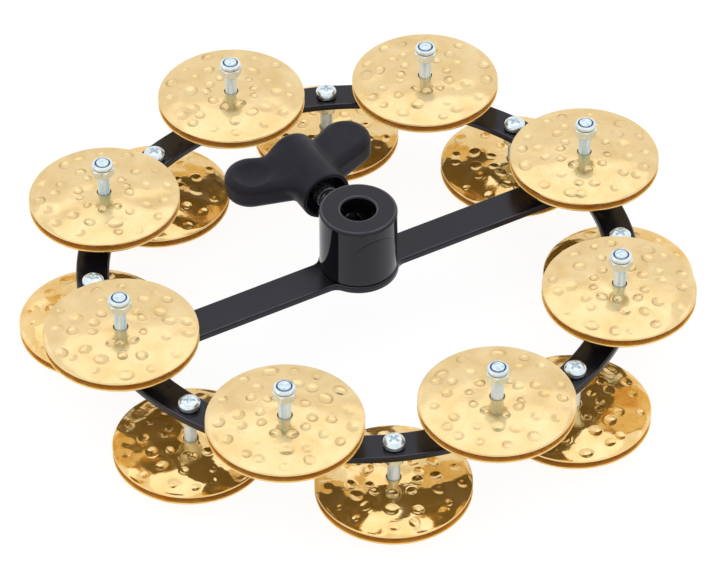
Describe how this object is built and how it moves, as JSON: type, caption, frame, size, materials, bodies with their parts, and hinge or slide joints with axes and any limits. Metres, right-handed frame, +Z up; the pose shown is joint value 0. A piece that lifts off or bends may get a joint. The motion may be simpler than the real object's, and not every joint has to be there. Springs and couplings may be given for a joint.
{
  "type": "hi-hat tambourine",
  "caption": "Ring tambourine for a hi-hat rod: hammered jingle pairs slide on bolts above and below a flat ring, with a clamping hub and wing knob on its cross bar.",
  "frame": {"origin": "on the hub's axis, level with the ends of the lower bolts, on which the tambourine stands", "axes": "+Z up along the hub's bore, +X along the cross bar, +Y towards the wing knob"},
  "size_m": [0.2278, 0.2278, 0.0503],
  "materials": {
    "coated_steel": "satin black powder coat",
    "gloss_coat": "glossy black",
    "dark_steel": "blackened thread",
    "soft_grip": "matte soft-touch moulding",
    "zinc_steel": "bright zinc plate",
    "hammered_brass": "polished and hammered",
    "blue_nylon": "moulded nylon ring",
    "plain_sticker": "bare dark film"
  },
  "bodies": {
    "frame": {"frame_plate": "coated_steel", "hub": "gloss_coat", "upper_bolt_1": "zinc_steel", "upper_bolt_2": "zinc_steel", "upper_bolt_3": "zinc_steel", "upper_bolt_4": "zinc_steel", "upper_bolt_5": "zinc_steel", "upper_bolt_6": "zinc_steel", "upper_bolt_7": "zinc_steel", "upper_bolt_8": "zinc_steel", "lower_bolt_1": "zinc_steel", "lower_bolt_2": "zinc_steel", "lower_bolt_3": "zinc_steel", "lower_bolt_4": "zinc_steel", "lower_bolt_5": "zinc_steel", "lower_bolt_6": "zinc_steel", "lower_bolt_7": "zinc_steel", "lower_bolt_8": "zinc_steel", "upper_lock_nut_1": "zinc_steel", "upper_lock_nut_2": "zinc_steel", "upper_lock_nut_3": "zinc_steel", "upper_lock_nut_4": "zinc_steel", "upper_lock_nut_5": "zinc_steel", "upper_lock_nut_6": "zinc_steel", "upper_lock_nut_7": "zinc_steel", "upper_lock_nut_8": "zinc_steel"},
    "clamp_screw": {"clamp_screw": "dark_steel"},
    "wing_knob": {"wing_knob": "soft_grip"},
    "upper_jingle_1_low": {"upper_jingle_1_low": "hammered_brass"},
    "upper_jingle_1_high": {"upper_jingle_1_high": "hammered_brass"},
    "upper_jingle_2_low": {"upper_jingle_2_low": "hammered_brass"},
    "upper_jingle_2_high": {"upper_jingle_2_high": "hammered_brass"},
    "upper_jingle_3_low": {"upper_jingle_3_low": "hammered_brass"},
    "upper_jingle_3_high": {"upper_jingle_3_high": "hammered_brass"},
    "upper_jingle_4_low": {"upper_jingle_4_low": "hammered_brass"},
    "upper_jingle_4_high": {"upper_jingle_4_high": "hammered_brass"},
    "upper_jingle_5_low": {"upper_jingle_5_low": "hammered_brass"},
    "upper_jingle_5_high": {"upper_jingle_5_high": "hammered_brass"},
    "upper_jingle_6_low": {"upper_jingle_6_low": "hammered_brass"},
    "upper_jingle_6_high": {"upper_jingle_6_high": "hammered_brass"},
    "upper_jingle_7_low": {"upper_jingle_7_low": "hammered_brass"},
    "upper_jingle_7_high": {"upper_jingle_7_high": "hammered_brass"},
    "upper_jingle_8_low": {"upper_jingle_8_low": "hammered_brass"},
    "upper_jingle_8_high": {"upper_jingle_8_high": "hammered_brass"},
    "lower_jingle_1_low": {"lower_jingle_1_low": "hammered_brass"},
    "lower_jingle_1_high": {"lower_jingle_1_high": "hammered_brass"},
    "lower_jingle_2_low": {"lower_jingle_2_low": "hammered_brass"},
    "lower_jingle_2_high": {"lower_jingle_2_high": "hammered_brass"},
    "lower_jingle_3_low": {"lower_jingle_3_low": "hammered_brass"},
    "lower_jingle_3_high": {"lower_jingle_3_high": "hammered_brass"},
    "lower_jingle_4_low": {"lower_jingle_4_low": "hammered_brass"},
    "lower_jingle_4_high": {"lower_jingle_4_high": "hammered_brass"},
    "lower_jingle_5_low": {"lower_jingle_5_low": "hammered_brass"},
    "lower_jingle_5_high": {"lower_jingle_5_high": "hammered_brass"},
    "lower_jingle_6_low": {"lower_jingle_6_low": "hammered_brass"},
    "lower_jingle_6_high": {"lower_jingle_6_high": "hammered_brass"},
    "lower_jingle_7_low": {"lower_jingle_7_low": "hammered_brass"},
    "lower_jingle_7_high": {"lower_jingle_7_high": "hammered_brass"},
    "lower_jingle_8_low": {"lower_jingle_8_low": "hammered_brass"},
    "lower_jingle_8_high": {"lower_jingle_8_high": "hammered_brass"}
  },
  "joints": [
    {"name": "clamp_screw_advance", "type": "slide", "parent": "frame", "child": "clamp_screw", "axis": [0, -1, 0], "range_m": [-0.002, 0.006]},
    {"name": "wing_knob_turn", "type": "hinge", "parent": "clamp_screw", "child": "wing_knob", "pos_m": [0, 0.0349, 0.0392], "axis": [0, -1, 0], "range_deg": [-570, 1720]},
    {"name": "upper_jingle_1_low_slide", "type": "slide", "parent": "frame", "child": "upper_jingle_1_low", "axis": [0, 0, 1], "range_m": [0, 0.0037]},
    {"name": "upper_jingle_1_high_slide", "type": "slide", "parent": "upper_jingle_1_low", "child": "upper_jingle_1_high", "axis": [0, 0, 1], "range_m": [0, 0.0037]},
    {"name": "upper_jingle_2_low_slide", "type": "slide", "parent": "frame", "child": "upper_jingle_2_low", "axis": [0, 0, 1], "range_m": [0, 0.0037]},
    {"name": "upper_jingle_2_high_slide", "type": "slide", "parent": "upper_jingle_2_low", "child": "upper_jingle_2_high", "axis": [0, 0, 1], "range_m": [0, 0.0037]},
    {"name": "upper_jingle_3_low_slide", "type": "slide", "parent": "frame", "child": "upper_jingle_3_low", "axis": [0, 0, 1], "range_m": [0, 0.0037]},
    {"name": "upper_jingle_3_high_slide", "type": "slide", "parent": "upper_jingle_3_low", "child": "upper_jingle_3_high", "axis": [0, 0, 1], "range_m": [0, 0.0037]},
    {"name": "upper_jingle_4_low_slide", "type": "slide", "parent": "frame", "child": "upper_jingle_4_low", "axis": [0, 0, 1], "range_m": [0, 0.0037]},
    {"name": "upper_jingle_4_high_slide", "type": "slide", "parent": "upper_jingle_4_low", "child": "upper_jingle_4_high", "axis": [0, 0, 1], "range_m": [0, 0.0037]},
    {"name": "upper_jingle_5_low_slide", "type": "slide", "parent": "frame", "child": "upper_jingle_5_low", "axis": [0, 0, 1], "range_m": [0, 0.0037]},
    {"name": "upper_jingle_5_high_slide", "type": "slide", "parent": "upper_jingle_5_low", "child": "upper_jingle_5_high", "axis": [0, 0, 1], "range_m": [0, 0.0037]},
    {"name": "upper_jingle_6_low_slide", "type": "slide", "parent": "frame", "child": "upper_jingle_6_low", "axis": [0, 0, 1], "range_m": [0, 0.0037]},
    {"name": "upper_jingle_6_high_slide", "type": "slide", "parent": "upper_jingle_6_low", "child": "upper_jingle_6_high", "axis": [0, 0, 1], "range_m": [0, 0.0037]},
    {"name": "upper_jingle_7_low_slide", "type": "slide", "parent": "frame", "child": "upper_jingle_7_low", "axis": [0, 0, 1], "range_m": [0, 0.0037]},
    {"name": "upper_jingle_7_high_slide", "type": "slide", "parent": "upper_jingle_7_low", "child": "upper_jingle_7_high", "axis": [0, 0, 1], "range_m": [0, 0.0037]},
    {"name": "upper_jingle_8_low_slide", "type": "slide", "parent": "frame", "child": "upper_jingle_8_low", "axis": [0, 0, 1], "range_m": [0, 0.0037]},
    {"name": "upper_jingle_8_high_slide", "type": "slide", "parent": "upper_jingle_8_low", "child": "upper_jingle_8_high", "axis": [0, 0, 1], "range_m": [0, 0.0037]},
    {"name": "lower_jingle_1_low_slide", "type": "slide", "parent": "frame", "child": "lower_jingle_1_low", "axis": [0, 0, 1], "range_m": [0, 0.0037]},
    {"name": "lower_jingle_1_high_slide", "type": "slide", "parent": "lower_jingle_1_low", "child": "lower_jingle_1_high", "axis": [0, 0, 1], "range_m": [0, 0.0037]},
    {"name": "lower_jingle_2_low_slide", "type": "slide", "parent": "frame", "child": "lower_jingle_2_low", "axis": [0, 0, 1], "range_m": [0, 0.0037]},
    {"name": "lower_jingle_2_high_slide", "type": "slide", "parent": "lower_jingle_2_low", "child": "lower_jingle_2_high", "axis": [0, 0, 1], "range_m": [0, 0.0037]},
    {"name": "lower_jingle_3_low_slide", "type": "slide", "parent": "frame", "child": "lower_jingle_3_low", "axis": [0, 0, 1], "range_m": [0, 0.0037]},
    {"name": "lower_jingle_3_high_slide", "type": "slide", "parent": "lower_jingle_3_low", "child": "lower_jingle_3_high", "axis": [0, 0, 1], "range_m": [0, 0.0037]},
    {"name": "lower_jingle_4_low_slide", "type": "slide", "parent": "frame", "child": "lower_jingle_4_low", "axis": [0, 0, 1], "range_m": [0, 0.0037]},
    {"name": "lower_jingle_4_high_slide", "type": "slide", "parent": "lower_jingle_4_low", "child": "lower_jingle_4_high", "axis": [0, 0, 1], "range_m": [0, 0.0037]},
    {"name": "lower_jingle_5_low_slide", "type": "slide", "parent": "frame", "child": "lower_jingle_5_low", "axis": [0, 0, 1], "range_m": [0, 0.0037]},
    {"name": "lower_jingle_5_high_slide", "type": "slide", "parent": "lower_jingle_5_low", "child": "lower_jingle_5_high", "axis": [0, 0, 1], "range_m": [0, 0.0037]},
    {"name": "lower_jingle_6_low_slide", "type": "slide", "parent": "frame", "child": "lower_jingle_6_low", "axis": [0, 0, 1], "range_m": [0, 0.0037]},
    {"name": "lower_jingle_6_high_slide", "type": "slide", "parent": "lower_jingle_6_low", "child": "lower_jingle_6_high", "axis": [0, 0, 1], "range_m": [0, 0.0037]},
    {"name": "lower_jingle_7_low_slide", "type": "slide", "parent": "frame", "child": "lower_jingle_7_low", "axis": [0, 0, 1], "range_m": [0, 0.0037]},
    {"name": "lower_jingle_7_high_slide", "type": "slide", "parent": "lower_jingle_7_low", "child": "lower_jingle_7_high", "axis": [0, 0, 1], "range_m": [0, 0.0037]},
    {"name": "lower_jingle_8_low_slide", "type": "slide", "parent": "frame", "child": "lower_jingle_8_low", "axis": [0, 0, 1], "range_m": [0, 0.0037]},
    {"name": "lower_jingle_8_high_slide", "type": "slide", "parent": "lower_jingle_8_low", "child": "lower_jingle_8_high", "axis": [0, 0, 1], "range_m": [0, 0.0037]}
  ],
  "couplings": [
    {"joint": "clamp_screw_advance", "follows": "wing_knob_turn", "m_per_rad": 0.00019894}
  ]
}
